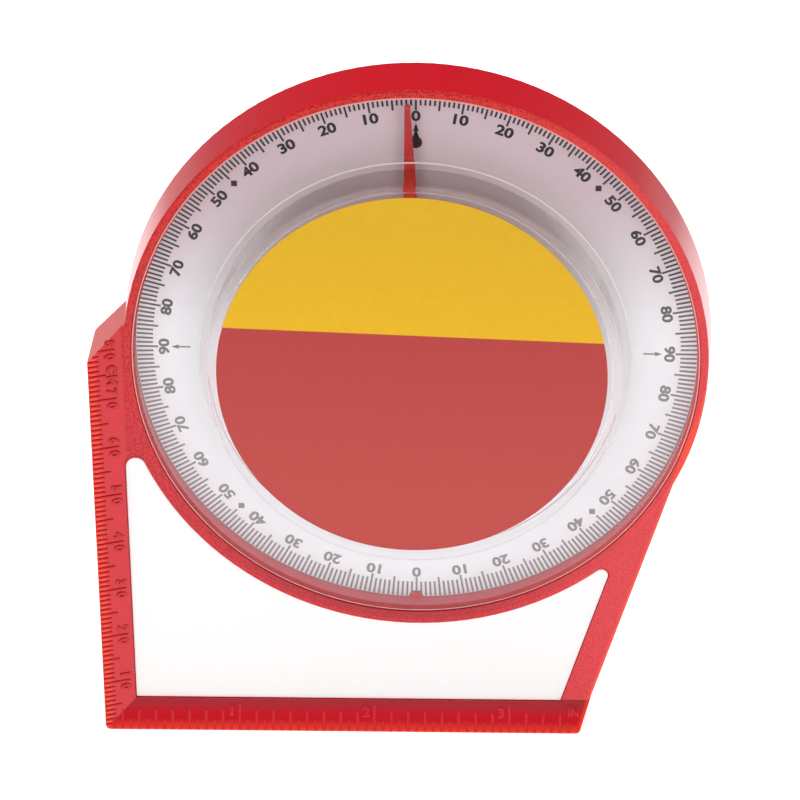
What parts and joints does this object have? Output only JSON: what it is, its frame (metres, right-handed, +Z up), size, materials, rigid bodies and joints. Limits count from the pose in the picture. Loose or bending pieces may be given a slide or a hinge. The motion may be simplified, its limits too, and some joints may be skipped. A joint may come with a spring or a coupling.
{
  "type": "inclinometer",
  "caption": "Round-dial inclinometer with a weighted pointer behind a clear window, in a flat case with a magnetic base, a side scale and a slanted strut.",
  "frame": {"origin": "centre of the bounding box in X and Y, at the height of the base's rest face", "axes": "+Z up from the base to the top of the drum; the dial faces -Y; the scale on the left side is towards -X"},
  "size_m": [0.113, 0.0182, 0.1301],
  "materials": {
    "red_plastic": "satin moulded, fine texture on the web and rim",
    "white_card": "matte",
    "ferrite": "matte",
    "zinc_steel": "zinc plated",
    "dial_silver": "satin printed",
    "clear_plastic": "clear, polished",
    "label_film": "printed film, satin",
    "turned_brass": "turned",
    "bright_steel": "ground",
    "pointer_red": "satin"
  },
  "bodies": {
    "case": {"housing": "red_plastic", "white_panel": "white_card", "base_magnet_left": "ferrite", "base_magnet_right": "ferrite", "magnet_keeper_left": "zinc_steel", "magnet_keeper_right": "zinc_steel", "dial_plate": "dial_silver", "lens": "clear_plastic", "front_label": "label_film", "front_bearing_cup": "turned_brass", "rear_bearing_cup": "turned_brass"},
    "pendulum": {"arbor": "bright_steel", "pointer_hub": "turned_brass", "pointer": "pointer_red", "counterweight": "zinc_steel", "weight_rivets": "bright_steel"}
  },
  "joints": [
    {"name": "pendulum_swing", "type": "hinge", "parent": "case", "child": "pendulum", "pos_m": [0.00278, 0, 0.0764], "axis": [0, 1, 0], "continuous": true}
  ]
}
